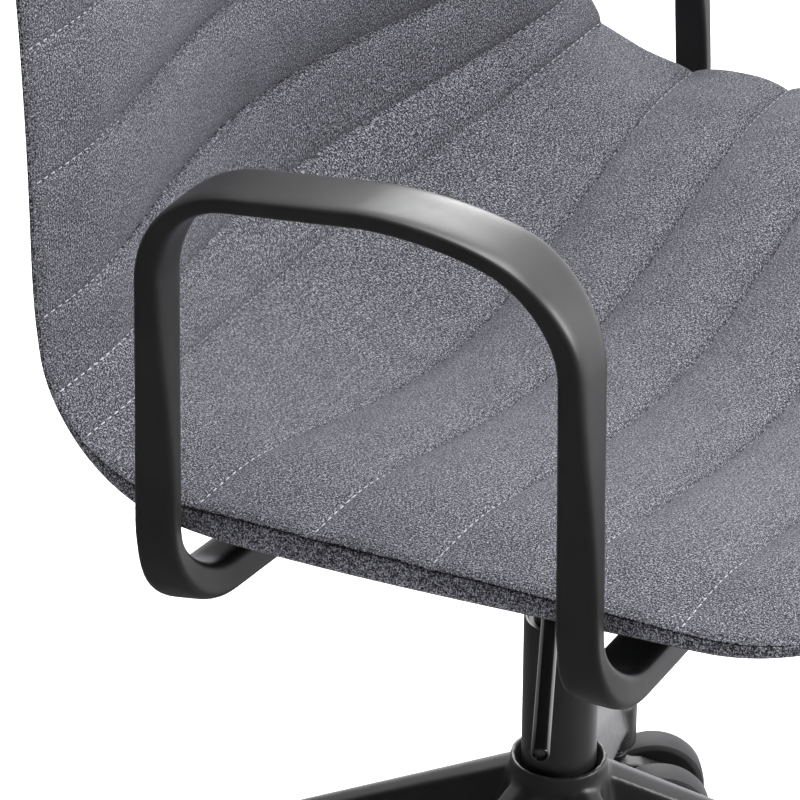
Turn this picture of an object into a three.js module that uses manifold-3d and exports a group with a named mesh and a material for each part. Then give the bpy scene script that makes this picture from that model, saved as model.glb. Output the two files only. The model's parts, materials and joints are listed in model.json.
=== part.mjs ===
// Swivel office chair: one-piece channelled seat shell, loop arms, gas column, five-leg base, twin-wheel casters.
// Millimetres, +Z up, the sitter faces -Y. The column axis is close to X = Y = 0.
import * as THREE from 'three';
import { mergeVertices } from 'three/addons/utils/BufferGeometryUtils.js';
import Module from 'manifold-3d';

const wasm = await Module();
wasm.setup();

// ---------------------------------------------------------------- driving dimensions
const GAP = 0.3;                    // clearance between pieces that touch
const COLUMN_Y = -3.66;             // puts the middle of the bounding box on the origin

// base and column
const HUB_TOP = 262;
const HUB_BOTTOM = 198;
const HUB_R_TOP = 24.8;
const HUB_R_BOTTOM = 40;
const TUBE_R = 19;
const TUBE_BORE_R = 17;
const TUBE_TOP = 342;
const TUBE_BOTTOM = 118;
const LEG_COUNT = 5;
const LEG_FIRST_AZ = 18;            // degrees from +X; one leg points straight back
const STEM_CIRCLE_R = 300;
const TIP_TOP = 104;
const TIP_BOTTOM = 74;
const TIP_R = 15;

// casters
const WHEEL_R = 32.5;
const WHEEL_W = 19;
const WHEEL_OFFSET = 18;          // from the caster's middle plane to a wheel's middle
const CASTER_TRAIL = 27;
const AXLE_R = 3;
const STEM_R = 5.5;
const STEM_LOWER_R = 4;
const TRAIL_AZ = [-60, -90, -120, -105, -75];

// gas spring
const CYLINDER_R = 14;
const CYLINDER_TOP = 443;
const CYLINDER_BOTTOM = 236;
const ROD_R = 5;
const PIN_R = 3.5;

// seat mechanism
const HOUSING_BOTTOM = 437;
const HOUSING_TOP = 458.7;
const PLATE_TOP = 462;
const PLATE_THICKNESS = 3;
const PLATE_SCREW_X = 70;
const PLATE_SCREW_Y = [-62, 36];

// lever
const LEVER_AZ = 202.1;
const LEVER_R = 4;
const LEVER_Z = 451;
const LEVER_PIVOT = 42;             // from the column axis
const LEVER_BEND = 66;
const LEVER_END = 238;
const LEVER_END_Z = 416;

// seat and backrest
const HALF_WIDTH = 264.7;
const SEAT_EDGE_Z = 525.6;
const SEAT_FRONT_Y = -290;
const BACK_Y = 117;
const BEND_R = 57;
const BACK_LEAN = 3.7;              // degrees, just above the bend
const RECLINE_Z = 700;
const RECLINE_R = 1030;
const RECLINE_ANGLE = 16;
const FRONT_CORNER_R = 55;
const FRONT_CORNER_AT = 112;        // where the front corners begin, behind the middle of the front edge
const FRONT_CORNER_TURN = 61.5;     // degrees, after which the front edge bows
const FRONT_FLAT = 60;              // half width of the straight middle of the front edge
const TOP_CORNER_R = 90;
const TOP_HALF_WIDTH = 246;
const PAD_THICKNESS = 15;
const BACK_PAD_EDGE = 3.2;            // the padding thins out along the sides of the back
const PAD_CROWN = 4;
const SHELL_EDGE = 3;
const BACK_SHELL_EDGE = 1.4;
const SHELL_MIDDLE = 7;

// arms
const ARM_X = 272;
const ARM_FRONT_Y = -135;
const ARM_REAR_Y = 56.5;
const ARM_RUN_Z = 483;
const ARM_SPLAY = [12, 15];         // how much further out the bottom of a leg is than its top, front and rear
const FOOT_X = 128;
const FOOT_Z = 475;
const FOOT_THICKNESS = 8;
const RUN_TURN = [-2.2, 6.1];       // degrees off the X axis, front and rear

// handle across the rear of the back
const HANDLE_Z = 744;
const HANDLE_END_X = 250;
const HANDLE_SCREW_X = 222;
const HANDLE_HALF_HEIGHT = 20;
const HANDLE_HALF_THICKNESS = 4;
const HANDLE_STANDOFF = 30;
const HANDLE_SEAT = 2;              // clearance behind the shell at the handle's ends
const HANDLE_RECESS = 2;            // depth of the pocket for a screw's head

const UP = new THREE.Vector3(0, 0, 1);
const rad = THREE.MathUtils.degToRad;

// ---------------------------------------------------------------- solids from three.js geometry

// Signed volume tells which way the faces point; a mirrored mapping turns them over.
function outward(geometry) {
  const index = geometry.index.array;
  const position = geometry.attributes.position;
  const [a, b, c] = [new THREE.Vector3(), new THREE.Vector3(), new THREE.Vector3()];
  let volume = 0;
  for (let i = 0; i < index.length; i += 3) {
    a.fromBufferAttribute(position, index[i]);
    b.fromBufferAttribute(position, index[i + 1]);
    c.fromBufferAttribute(position, index[i + 2]);
    volume += a.dot(b.cross(c));
  }
  if (volume < 0) {
    for (let i = 0; i < index.length; i += 3) {
      [index[i], index[i + 1]] = [index[i + 1], index[i]];
    }
  }
  return geometry;
}

function closed(geometry) {
  geometry.deleteAttribute('normal');
  geometry.deleteAttribute('uv');
  return outward(mergeVertices(geometry, 1e-3));
}

function solid(geometry) {
  const merged = closed(geometry);
  return new wasm.Manifold(new wasm.Mesh({
    numProp: 3,
    vertProperties: new Float32Array(merged.attributes.position.array),
    triVerts: new Uint32Array(merged.index.array),
  }));
}

function geometryOf(body) {
  const mesh = body.getMesh();
  const geometry = new THREE.BufferGeometry();
  geometry.setAttribute('position', new THREE.BufferAttribute(mesh.vertProperties, 3));
  geometry.setIndex(new THREE.BufferAttribute(mesh.triVerts, 1));
  return geometry;
}

function joined(geometries) {
  return geometries.map(solid).reduce((sum, part) => sum.add(part));
}

function cutAway(body, geometries) {
  return geometries.map(solid).reduce((rest, part) => rest.subtract(part), body);
}

// Profile points are [radius, z]; the solid stands on the Z axis.
function turned(points, sides = 20) {
  const profile = points.map(([radius, z]) => new THREE.Vector2(radius, z));
  return new THREE.LatheGeometry(profile, sides).rotateX(Math.PI / 2);
}

function ring(inner, outer, bottom, top, sides = 16) {
  return turned([[inner, bottom], [outer, bottom], [outer, top], [inner, top], [inner, bottom]], sides);
}

function rod(radius, bottom, top, sides = 12) {
  return turned([[0, bottom], [radius, bottom], [radius, top], [0, top]], sides);
}

function block(sizeX, sizeY, bottom, top, x = 0, y = 0) {
  return new THREE.BoxGeometry(sizeX, sizeY, top - bottom).translate(x, y, (bottom + top) / 2);
}

function moved(geometry, change) {
  const position = geometry.attributes.position;
  const point = new THREE.Vector3();
  for (let i = 0; i < position.count; i++) {
    point.fromBufferAttribute(position, i);
    change(point);
    position.setXYZ(i, point.x, point.y, point.z);
  }
  return geometry;
}

// A bar along stations { at, wide, thin }, where wide and thin are its half-axes as vectors.
// The section is a superellipse, so flat sides meet in soft corners.
function bar(stations, sides = 12, squareness = 3.2) {
  const rows = stations.length - 1;
  const geometry = new THREE.CylinderGeometry(1, 1, 1, sides, rows);
  return moved(geometry, (point) => {
    const station = stations[Math.round((0.5 - point.y) * rows)];
    const { x, z } = point;
    const reach = (Math.abs(x) ** squareness + Math.abs(z) ** squareness) ** (1 / squareness) || 1;
    point.copy(station.at);
    point.addScaledVector(station.wide, x / reach);
    point.addScaledVector(station.thin, z / reach);
  });
}

// ---------------------------------------------------------------- scene graph

const chair = new THREE.Group();
chair.position.y = COLUMN_Y;

function material(color, roughness, metalness) {
  return { color, roughness, metalness };
}

const BLACK_PAINT = material(0x17181a, 0.42, 0.1);
const BLACK_PLASTIC = material(0x1b1b1c, 0.5, 0);
const SOFT_PLASTIC = material(0x2c2d2f, 0.62, 0);
const SATIN_TUBE = material(0x252524, 0.35, 0.4);
const STEEL = material(0x8c8e90, 0.35, 1);
const GLOSS_BLACK = material(0x0b0b0c, 0.15, 0.2);
const SHELL_GREY = material(0x3a3b3d, 0.6, 0);
const CLOTH = material(0x68686f, 0.95, 0);

function place(name, shape, finish, group = chair) {
  const geometry = shape.isBufferGeometry ? closed(shape) : geometryOf(shape);
  const mesh = new THREE.Mesh(geometry, new THREE.MeshStandardMaterial(finish));
  mesh.name = name;
  group.add(mesh);
  return mesh;
}

// ---------------------------------------------------------------- seat surface

const seatProfile = new THREE.Path();
const WATERFALL_R = 300;
const WATERFALL_Y = -230;
const waterfallAngle = Math.asin((WATERFALL_Y - SEAT_FRONT_Y) / WATERFALL_R);
seatProfile.absarc(
  WATERFALL_Y, SEAT_EDGE_Z - WATERFALL_R, WATERFALL_R,
  Math.PI / 2 + waterfallAngle, Math.PI / 2, true,
);
seatProfile.absarc(BACK_Y - BEND_R, SEAT_EDGE_Z + BEND_R, BEND_R, -Math.PI / 2, -rad(BACK_LEAN), false);
const BEND_TOP_Y = BACK_Y - BEND_R * (1 - Math.cos(rad(BACK_LEAN)));
const BEND_TOP_Z = SEAT_EDGE_Z + BEND_R * (1 - Math.sin(rad(BACK_LEAN)));
const RECLINE_Y = BEND_TOP_Y + (RECLINE_Z - BEND_TOP_Z) * Math.tan(rad(BACK_LEAN));
seatProfile.absarc(
  RECLINE_Y + RECLINE_R * Math.cos(rad(BACK_LEAN)), RECLINE_Z - RECLINE_R * Math.sin(rad(BACK_LEAN)), RECLINE_R,
  Math.PI - rad(BACK_LEAN), Math.PI - rad(RECLINE_ANGLE), true,
);
const PROFILE_LENGTH = seatProfile.getLength();
const BEND_AT = 60 + (BACK_Y - BEND_R - WATERFALL_Y) + BEND_R * Math.PI / 4;

// Quarter-circle corners: how far the edge steps in at a distance from the end of the profile.
function cornerInset(distance, radius) {
  const d = Math.min(Math.max(distance, 0), radius);
  return radius - Math.sqrt(radius ** 2 - (radius - d) ** 2);
}

// The front corners are arcs that run into a bowed front edge.
const FRONT_JOIN = FRONT_CORNER_AT - FRONT_CORNER_R * Math.sin(rad(FRONT_CORNER_TURN));
const FRONT_JOIN_X = HALF_WIDTH - FRONT_CORNER_R * (1 - Math.cos(rad(FRONT_CORNER_TURN)));

function frontInset(s) {
  if (s < FRONT_JOIN) {
    const bow = (FRONT_JOIN_X ** 2 - FRONT_FLAT ** 2) / FRONT_JOIN;
    return HALF_WIDTH - Math.sqrt(FRONT_FLAT ** 2 + bow * s);
  }
  return cornerInset(FRONT_CORNER_R - FRONT_CORNER_AT + s, FRONT_CORNER_R);
}

function halfWidthAt(s) {
  const taper = THREE.MathUtils.smoothstep(s, BEND_AT + 60, PROFILE_LENGTH);
  const width = THREE.MathUtils.lerp(HALF_WIDTH, TOP_HALF_WIDTH, taper);
  return width - frontInset(s) - cornerInset(PROFILE_LENGTH - s, TOP_CORNER_R);
}

// Depth of the dish across the middle: a little more in the bend, less at both ends.
function dishAt(s) {
  const bend = 8 * Math.exp(-(((s - BEND_AT) / 70) ** 2));
  const front = THREE.MathUtils.lerp(24, 36, THREE.MathUtils.smoothstep(s, 0, 150));
  const top = THREE.MathUtils.lerp(22, front, THREE.MathUtils.smoothstep(PROFILE_LENGTH - s, 0, 260));
  return Math.min(front, top) + bend;
}

// Point of the seat surface at distance s along the profile, x across and height above the surface.
function seatPoint(s, x, height, target) {
  const along = THREE.MathUtils.clamp(s / PROFILE_LENGTH, 0, 1);
  const point = seatProfile.getPointAt(along);
  const tangent = seatProfile.getTangentAt(along);
  const across = Math.min(Math.abs(x) / HALF_WIDTH, 1);
  const dish = dishAt(s) * (1 + Math.cos(Math.PI * across)) / 2;
  const lift = height - dish;
  return target.set(x, point.x - tangent.y * lift, point.y + tangent.x * lift);
}

// Rows of cells along the profile: close together round the corners and in the bend.
function spread(from, to, count, ease = 1) {
  return Array.from({ length: count }, (_, i) => from + (to - from) * (i / count) ** ease);
}

const PAD_COLUMNS = 10;
const BEND_START = BEND_AT - 75;
const BEND_END = BEND_AT + 70;
const TOP_CORNER_AT = PROFILE_LENGTH - TOP_CORNER_R;
const seatRows = [
  ...spread(0, FRONT_JOIN, 4, 2),
  ...spread(FRONT_JOIN, FRONT_CORNER_AT, 3),
  ...spread(FRONT_CORNER_AT, BEND_START, 3),
  ...spread(BEND_START, BEND_END, 7),
  ...spread(BEND_END, TOP_CORNER_AT, 4),
  TOP_CORNER_AT,
  ...spread(PROFILE_LENGTH, TOP_CORNER_AT, 5, 1.8).reverse(),
];

// A slab of the seat between two heights above its surface; the box's cells follow the surface.
// height(side, edge, s) gives the top or the bottom; edge is 0 at the rim and 1 well inside it.
// mirror turns the diagonals of the cells over, so that two slabs face each other cell by cell.
function seatSlab(height, mirror = 1) {
  const rows = seatRows.length - 1;
  const geometry = new THREE.BoxGeometry(2, 2, 2, PAD_COLUMNS, rows, 1);
  return moved(geometry, (point) => {
    const s = seatRows[Math.round((point.y + 1) / 2 * rows)];
    const halfWidth = halfWidthAt(s);
    const x = mirror * Math.sin(point.x * Math.PI / 2) * halfWidth;
    const rim = Math.min(halfWidth - Math.abs(x), s, PROFILE_LENGTH - s);
    const edge = THREE.MathUtils.smoothstep(rim, 0, 60);
    seatPoint(s, x, height(point.z, edge, s), point);
  });
}

// How far round the bend from the seat to the back a place is, 0 to 1.
function backness(s) {
  return THREE.MathUtils.smoothstep(s, BEND_AT - 75, BEND_AT + 30);
}

function padHeight(side, edge, s) {
  const rim = THREE.MathUtils.lerp(PAD_THICKNESS, BACK_PAD_EDGE, backness(s));
  return side > 0 ? PAD_CROWN * edge : -THREE.MathUtils.lerp(rim, PAD_THICKNESS, edge);
}

function shellHeight(side, edge, s) {
  const top = padHeight(-1, edge, s) - GAP;
  const rim = THREE.MathUtils.lerp(SHELL_EDGE, BACK_SHELL_EDGE, backness(s));
  return side > 0 ? top : top - THREE.MathUtils.lerp(rim, SHELL_MIDDLE, edge);
}

function undersideZ(x, y) {
  const s = y - SEAT_FRONT_Y;
  return seatPoint(s, x, shellHeight(-1, 1, s), new THREE.Vector3()).z;
}

// A cubic Bezier with this pull follows a quarter circle.
const BEND_PULL = 0.5523;

// ---------------------------------------------------------------- base

function legPoint(radius) {
  const along = (radius - HUB_R_TOP) / (STEM_CIRCLE_R - HUB_R_TOP);
  const top = THREE.MathUtils.lerp(HUB_TOP - 8, TIP_TOP, along);
  const depth = THREE.MathUtils.lerp(56, 22, Math.sqrt(Math.max(along, 0)));
  const width = THREE.MathUtils.lerp(15, 10.5, along);
  return { top, depth, width };
}

// One leg along +X: a ridge with sloping sides that tapers towards the caster.
function leg() {
  const geometry = new THREE.BoxGeometry(1, 2, 1, 5, 2, 1);
  return moved(geometry, (point) => {
    const radius = THREE.MathUtils.lerp(22, STEM_CIRCLE_R, point.x + 0.5);
    const { top, depth, width } = legPoint(radius);
    const flare = 1 - 0.35 * (point.z + 0.5);
    const crown = 3 * Math.abs(point.y) * (point.z + 0.5);
    point.set(radius, point.y * width * flare, top - crown - depth * (0.5 - point.z));
  });
}

function baseStar() {
  const hub = turned([
    [0, HUB_BOTTOM], [HUB_R_BOTTOM, HUB_BOTTOM], [HUB_R_BOTTOM - 3, HUB_BOTTOM + 14],
    [HUB_R_TOP + 3, HUB_TOP - 22], [HUB_R_TOP, HUB_TOP - 6], [HUB_R_TOP, HUB_TOP], [0, HUB_TOP],
  ], 30);
  const solids = [hub];
  const cuts = [
    rod(TUBE_R + GAP, HUB_BOTTOM - 5, HUB_TOP + 5, 28),
    rod(TUBE_R + 3, HUB_TOP - 5, HUB_TOP + 5, 28),
  ];
  for (let i = 0; i < LEG_COUNT; i++) {
    const angle = rad(LEG_FIRST_AZ + i * 360 / LEG_COUNT);
    const tip = rod(TIP_R, TIP_BOTTOM, TIP_TOP, 14).translate(STEM_CIRCLE_R, 0, 0);
    const socket = rod(STEM_R + GAP, TIP_BOTTOM - 5, TIP_TOP - 6, 12).translate(STEM_CIRCLE_R, 0, 0);
    solids.push(leg().rotateZ(angle), tip.rotateZ(angle));
    cuts.push(socket.rotateZ(angle));
  }
  return cutAway(joined(solids), cuts);
}

place('base_star', baseStar(), BLACK_PAINT);

// ---------------------------------------------------------------- gas spring

place('column_tube', turned([
  [ROD_R + 0.6, TUBE_BOTTOM], [TUBE_R - 1, TUBE_BOTTOM], [TUBE_R, TUBE_BOTTOM + 1], [TUBE_R, TUBE_TOP - 1],
  [TUBE_R - 1, TUBE_TOP], [TUBE_BORE_R, TUBE_TOP], [TUBE_BORE_R, TUBE_BOTTOM + 4],
  [ROD_R + 0.6, TUBE_BOTTOM + 4], [ROD_R + 0.6, TUBE_BOTTOM],
], 28), SATIN_TUBE);
place('guide_bushing', ring(CYLINDER_R + 0.2, TUBE_BORE_R - GAP, 282, TUBE_TOP - 1.5, 28), BLACK_PLASTIC);
place('thrust_bearing', ring(ROD_R + 0.5, 12, TUBE_BOTTOM + 4 + GAP, TUBE_BOTTOM + 9), STEEL);

const shoulderZ = TUBE_BOTTOM + 9 + GAP;
const clipZ = TUBE_BOTTOM - 2.2;
place('piston_rod', turned([
  [0, TUBE_BOTTOM - 5], [ROD_R, TUBE_BOTTOM - 5], [ROD_R, clipZ - 0.2], [ROD_R - 1, clipZ - 0.2],
  [ROD_R - 1, clipZ + 1.6], [ROD_R, clipZ + 1.6], [ROD_R, shoulderZ], [8, shoulderZ], [8, shoulderZ + 4],
  [ROD_R, shoulderZ + 4], [ROD_R, 250], [ROD_R - 1, 250], [ROD_R - 1, 262], [0, 262],
], 16), STEEL);

function retainingClip() {
  const body = solid(ring(ROD_R - 0.7, 9, clipZ, clipZ + 1.4, 20));
  return cutAway(body, [block(7, 12, clipZ - 1, clipZ + 3, 0, -7)]);
}
place('retaining_clip', retainingClip(), STEEL);
place('gas_piston', ring(ROD_R - 0.7, 11.6, 250 + GAP, 260), STEEL);

place('pressure_cylinder', turned([
  [ROD_R + 0.3, CYLINDER_BOTTOM], [CYLINDER_R - 1, CYLINDER_BOTTOM], [CYLINDER_R, CYLINDER_BOTTOM + 1],
  [CYLINDER_R, CYLINDER_TOP - 1], [CYLINDER_R - 1, CYLINDER_TOP], [PIN_R + 0.3, CYLINDER_TOP],
  [PIN_R + 0.3, CYLINDER_TOP - 14], [12, CYLINDER_TOP - 14], [12, CYLINDER_BOTTOM + 8],
  [ROD_R + 0.3, CYLINDER_BOTTOM + 8], [ROD_R + 0.3, CYLINDER_BOTTOM],
], 28), SATIN_TUBE);

place('release_pin', rod(PIN_R, CYLINDER_TOP - 20, LEVER_Z - LEVER_R - GAP), STEEL);
place('taper_socket', ring(CYLINDER_R + GAP, 18.5, HOUSING_BOTTOM - 6, CYLINDER_TOP, 28), BLACK_PAINT);

// ---------------------------------------------------------------- seat mechanism

const leverDirection = new THREE.Vector3(1, 0, 0).applyAxisAngle(UP, rad(LEVER_AZ));
const leverAxis = new THREE.Vector3(0, 1, 0).applyAxisAngle(UP, rad(LEVER_AZ - 180));
const pivot = leverDirection.clone().multiplyScalar(LEVER_PIVOT).setZ(LEVER_Z);
const LUG_OFFSET = 8;
const PIVOT_PIN_R = 1.5;
const HOUSING_WALL = 3;
const HOUSING_X = 104;
const HOUSING_Y = 112;
const HOUSING_MIDDLE_Y = -8;
const PLATE_X = 170;
const PLATE_Y = 120;
const PLATE_MIDDLE_Y = -13;

// A round bar across the lever, through the pivot.
function acrossLever(radius, length, sides = 10) {
  const geometry = new THREE.CylinderGeometry(radius, radius, length, sides);
  return geometry.rotateZ(rad(LEVER_AZ - 180)).translate(pivot.x, pivot.y, pivot.z);
}

function housing() {
  const outside = block(HOUSING_X, HOUSING_Y, HOUSING_BOTTOM, HOUSING_TOP, 0, HOUSING_MIDDLE_Y);
  const inside = block(
    HOUSING_X - 2 * HOUSING_WALL, HOUSING_Y - 2 * HOUSING_WALL,
    HOUSING_BOTTOM + HOUSING_WALL, HOUSING_TOP + 1, 0, HOUSING_MIDDLE_Y,
  );
  const tray = cutAway(solid(outside), [inside, rod(18.8, HOUSING_BOTTOM - 1, HOUSING_TOP + 1, 28)]);
  const lugs = [-1, 1].map((side) => {
    const at = leverAxis.clone().multiplyScalar(side * LUG_OFFSET).add(pivot);
    return block(12, 4, HOUSING_BOTTOM + 1, HOUSING_TOP).rotateZ(rad(LEVER_AZ)).translate(at.x, at.y, 0);
  });
  const slotY = -Math.tan(rad(LEVER_AZ - 180)) * HOUSING_X / 2;
  const slot = block(12, 18, LEVER_Z - LEVER_R - 2, HOUSING_TOP + 1, -HOUSING_X / 2, slotY);
  return cutAway(tray.add(joined(lugs)), [slot, acrossLever(PIVOT_PIN_R + GAP, 40)]);
}

place('mechanism_housing', housing(), BLACK_PAINT);

function plateScrewSpots() {
  return PLATE_SCREW_Y.flatMap((y) => [[-PLATE_SCREW_X, y], [PLATE_SCREW_X, y]]);
}

function mountingPlate() {
  const plate = solid(block(PLATE_X, PLATE_Y, PLATE_TOP - PLATE_THICKNESS, PLATE_TOP, 0, PLATE_MIDDLE_Y));
  const holes = plateScrewSpots().map(([x, y]) => rod(3.3, PLATE_TOP - 9, PLATE_TOP + 5).translate(x, y, 0));
  return cutAway(plate, holes);
}

place('mounting_plate', mountingPlate(), BLACK_PAINT);

// ---------------------------------------------------------------- lever

function heightLever() {
  const bend = leverDirection.clone().multiplyScalar(LEVER_BEND).setZ(LEVER_Z);
  const end = leverDirection.clone().multiplyScalar(LEVER_END).setZ(LEVER_END_Z);
  const inner = leverDirection.clone().multiplyScalar(-6).setZ(LEVER_Z);
  const route = roundedPath([inner, bend, end], [30]);
  const stations = route.map(({ at, along }) => {
    const across = leverAxis.clone();
    return {
      at,
      wide: across.clone().multiplyScalar(LEVER_R),
      thin: new THREE.Vector3().crossVectors(along, across).multiplyScalar(LEVER_R),
    };
  });
  const slope = end.clone().sub(bend).normalize();
  const recess = new THREE.CylinderGeometry(2.9, 2.9, 16, 12);
  recess.applyQuaternion(new THREE.Quaternion().setFromUnitVectors(new THREE.Vector3(0, 1, 0), slope));
  recess.translate(end.x, end.y, end.z);
  return cutAway(solid(bar(stations, 12, 2)), [acrossLever(PIVOT_PIN_R + GAP, 20), recess]);
}

// Straight stretches joined by smooth bends: corners[i + 1] is rounded over radii[i].
function roundedPath(corners, tangentLengths, bendSteps = 6, straightSteps = 2) {
  const stations = [];
  const add = (curve, steps) => {
    for (let i = 0; i <= steps; i++) {
      const at = curve.getPoint(i / steps);
      const along = curve.getTangent(i / steps);
      const last = stations.at(-1);
      if (!last || last.at.distanceTo(at) > 0.5) stations.push({ at, along });
    }
  };
  let from = corners[0];
  for (let i = 1; i < corners.length - 1; i++) {
    const before = corners[i - 1].clone().sub(corners[i]).normalize();
    const after = corners[i + 1].clone().sub(corners[i]).normalize();
    const length = tangentLengths[i - 1];
    const start = corners[i].clone().addScaledVector(before, length);
    const end = corners[i].clone().addScaledVector(after, length);
    const pull = length * BEND_PULL;
    add(new THREE.LineCurve3(from, start), straightSteps);
    add(new THREE.CubicBezierCurve3(
      start, start.clone().addScaledVector(before, -pull), end.clone().addScaledVector(after, -pull), end,
    ), bendSteps);
    from = end;
  }
  add(new THREE.LineCurve3(from, corners.at(-1)), straightSteps);
  return stations;
}

place('height_lever', heightLever(), GLOSS_BLACK);
place('lever_pivot_pin', acrossLever(PIVOT_PIN_R, 2 * LUG_OFFSET + 8), STEEL);

function leverCap() {
  const bend = leverDirection.clone().multiplyScalar(LEVER_BEND).setZ(LEVER_Z);
  const end = leverDirection.clone().multiplyScalar(LEVER_END).setZ(LEVER_END_Z);
  const slope = end.clone().sub(bend).normalize();
  const cap = new THREE.CylinderGeometry(2.9 - GAP, 2.9 - GAP, 5, 12);
  cap.applyQuaternion(new THREE.Quaternion().setFromUnitVectors(new THREE.Vector3(0, 1, 0), slope));
  const at = end.addScaledVector(slope, -4.5);
  return cap.translate(at.x, at.y, at.z);
}

place('lever_cap', leverCap(), BLACK_PLASTIC);

// ---------------------------------------------------------------- seat shell and cushion

// Rear face of the shell at a height on the back.
function rearY(x, z) {
  const bendTop = BEND_AT + BEND_R * (Math.PI / 4 - rad(BACK_LEAN));
  const s = bendTop + (z - BEND_TOP_Z) / Math.cos(rad(BACK_LEAN));
  return seatPoint(s, x, shellHeight(-1, 1, s), new THREE.Vector3()).y;
}

// A round bore from front to back between two distances behind the shell's rear face.
function handleBore(side, radius, from, to) {
  const geometry = new THREE.CylinderGeometry(radius, radius, to - from, 12);
  const y = rearY(HANDLE_SCREW_X, HANDLE_Z) + (from + to) / 2;
  return geometry.translate(side * HANDLE_SCREW_X, y, HANDLE_Z);
}

const FOOT_TOP = FOOT_Z + FOOT_THICKNESS / 2;
const INSERT_TOP = 488.6;

function footSpots() {
  const [frontTurn, rearTurn] = RUN_TURN.map((turn) => Math.tan(rad(turn)) * (ARM_X - FOOT_X));
  return [[FOOT_X, ARM_FRONT_Y + frontTurn], [FOOT_X, ARM_REAR_Y - rearTurn]];
}

function allFootSpots() {
  return [-1, 1].flatMap((side) => footSpots().map(([x, y]) => [side * x, y]));
}

function seatShell() {
  const bosses = [
    ...plateScrewSpots().map(([x, y]) => rod(8, PLATE_TOP + GAP, undersideZ(x, y) + 2.5).translate(x, y, 0)),
    ...allFootSpots().map(([x, y]) => rod(9, FOOT_TOP + GAP, undersideZ(x, y) + 2.5).translate(x, y, 0)),
  ];
  const holes = [
    ...plateScrewSpots().map(([x, y]) => rod(3, PLATE_TOP - 5, undersideZ(x, y) + 1.5, 12).translate(x, y, 0)),
    ...allFootSpots().map(([x, y]) => rod(3.3, FOOT_TOP - 5, INSERT_TOP, 12).translate(x, y, 0)),
    ...[-1, 1].map((side) => handleBore(side, 2.8, -4, 10)),
  ];
  const sheet = solid(seatSlab(shellHeight, -1));
  return cutAway(sheet.add(joined(bosses)), holes);
}

place('seat_shell', seatShell(), SHELL_GREY);
place('seat_cushion', seatSlab(padHeight), CLOTH);

// Stands on its head, which has a hexagonal socket; the shank goes up.
function screw(headR, headHeight, shankR, seatZ, tipZ) {
  const body = solid(turned([
    [0, seatZ - headHeight], [headR - 1, seatZ - headHeight], [headR, seatZ - headHeight + 1],
    [headR, seatZ], [shankR, seatZ], [shankR, tipZ - 1], [shankR - 1, tipZ], [0, tipZ],
  ], 8));
  const hexagon = new THREE.CylinderGeometry(2, 2, 4, 6).rotateX(Math.PI / 2);
  return cutAway(body, [hexagon.translate(0, 0, seatZ - headHeight)]);
}

function placeScrews(prefix, spots, dimensions) {
  spots.forEach(([x, y], i) => {
    const mesh = place(`${prefix}_${i + 1}`, screw(...dimensions(x, y)), STEEL);
    mesh.position.set(x, y, 0);
  });
}

placeScrews('plate_screw', plateScrewSpots(), (x, y) => {
  return [6.5, 4, 2.7, PLATE_TOP - PLATE_THICKNESS - GAP, undersideZ(x, y) + 1];
});
placeScrews('arm_screw', allFootSpots(), () => {
  return [7, 4, 3, FOOT_TOP - FOOT_THICKNESS - GAP, INSERT_TOP - 0.6];
});

// ---------------------------------------------------------------- arms

// Half-sizes of the section: upper leg, top bar, lower leg, run under the seat, foot.
const LEG_HALF = [12.4, 5.8];
const TOP_HALF = [16.4, 4.3];
const LOW_HALF = [4, 9.6];
const RUN_HALF = [8.2, 12];
const FOOT_HALF = [FOOT_THICKNESS / 2, 13];

// One loop from the front foot, out and up the front leg, back along the top and down to the rear foot.
function armLoop(side) {
  const [[footX, frontFootY], [, rearFootY]] = footSpots();
  const [frontTurn, rearTurn] = RUN_TURN.map((turn) => Math.tan(rad(turn)));
  const [frontSplay, rearSplay] = ARM_SPLAY;
  const corners = [
    [footX - 14, frontFootY, FOOT_Z],
    [footX + 20, frontFootY, FOOT_Z],
    [footX + 48, frontFootY - frontTurn * 48, ARM_RUN_Z],
    [ARM_X + frontSplay, ARM_FRONT_Y, ARM_RUN_Z],
    [ARM_X, ARM_FRONT_Y + 8.4, 664.6],
    [ARM_X - 1, -64, 685],
    [ARM_X - 1, ARM_REAR_Y + 3.6, 672.5],
    [ARM_X + rearSplay, ARM_REAR_Y, ARM_RUN_Z],
    [footX + 48, rearFootY + rearTurn * 48, ARM_RUN_Z],
    [footX + 20, rearFootY + rearTurn * 20, FOOT_Z],
    [footX - 14, rearFootY - rearTurn * 14, FOOT_Z],
  ].map(([x, y, z]) => new THREE.Vector3(side * x, y, z));
  const route = roundedPath(corners, [10, 12, 41, 34, 30, 39, 41, 12, 10], 4, 1);
  return bar(withSections(route), 8, 3.2);
}

// 1 on the foot, 0 on the run.
function footness(at) {
  return 1 - THREE.MathUtils.smoothstep(Math.abs(at.x), FOOT_X + 16, FOOT_X + 52);
}

// Blend of the sections by where a station is: under the seat, low or high on a leg, or on top.
function sectionAt({ at, along }) {
  const mix = (from, to, t) => from.map((value, i) => THREE.MathUtils.lerp(value, to[i], t));
  const run = 1 - THREE.MathUtils.smoothstep(at.z, ARM_RUN_Z + 4, ARM_RUN_Z + 34);
  const low = 1 - THREE.MathUtils.smoothstep(at.z, ARM_RUN_Z + 45, ARM_RUN_Z + 165);
  const top = THREE.MathUtils.smoothstep(Math.abs(along.y), 0.25, 0.95) * (1 - run);
  return mix(mix(mix(mix(LEG_HALF, TOP_HALF, top), LOW_HALF, low), RUN_HALF, run), FOOT_HALF, footness(at));
}

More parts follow.
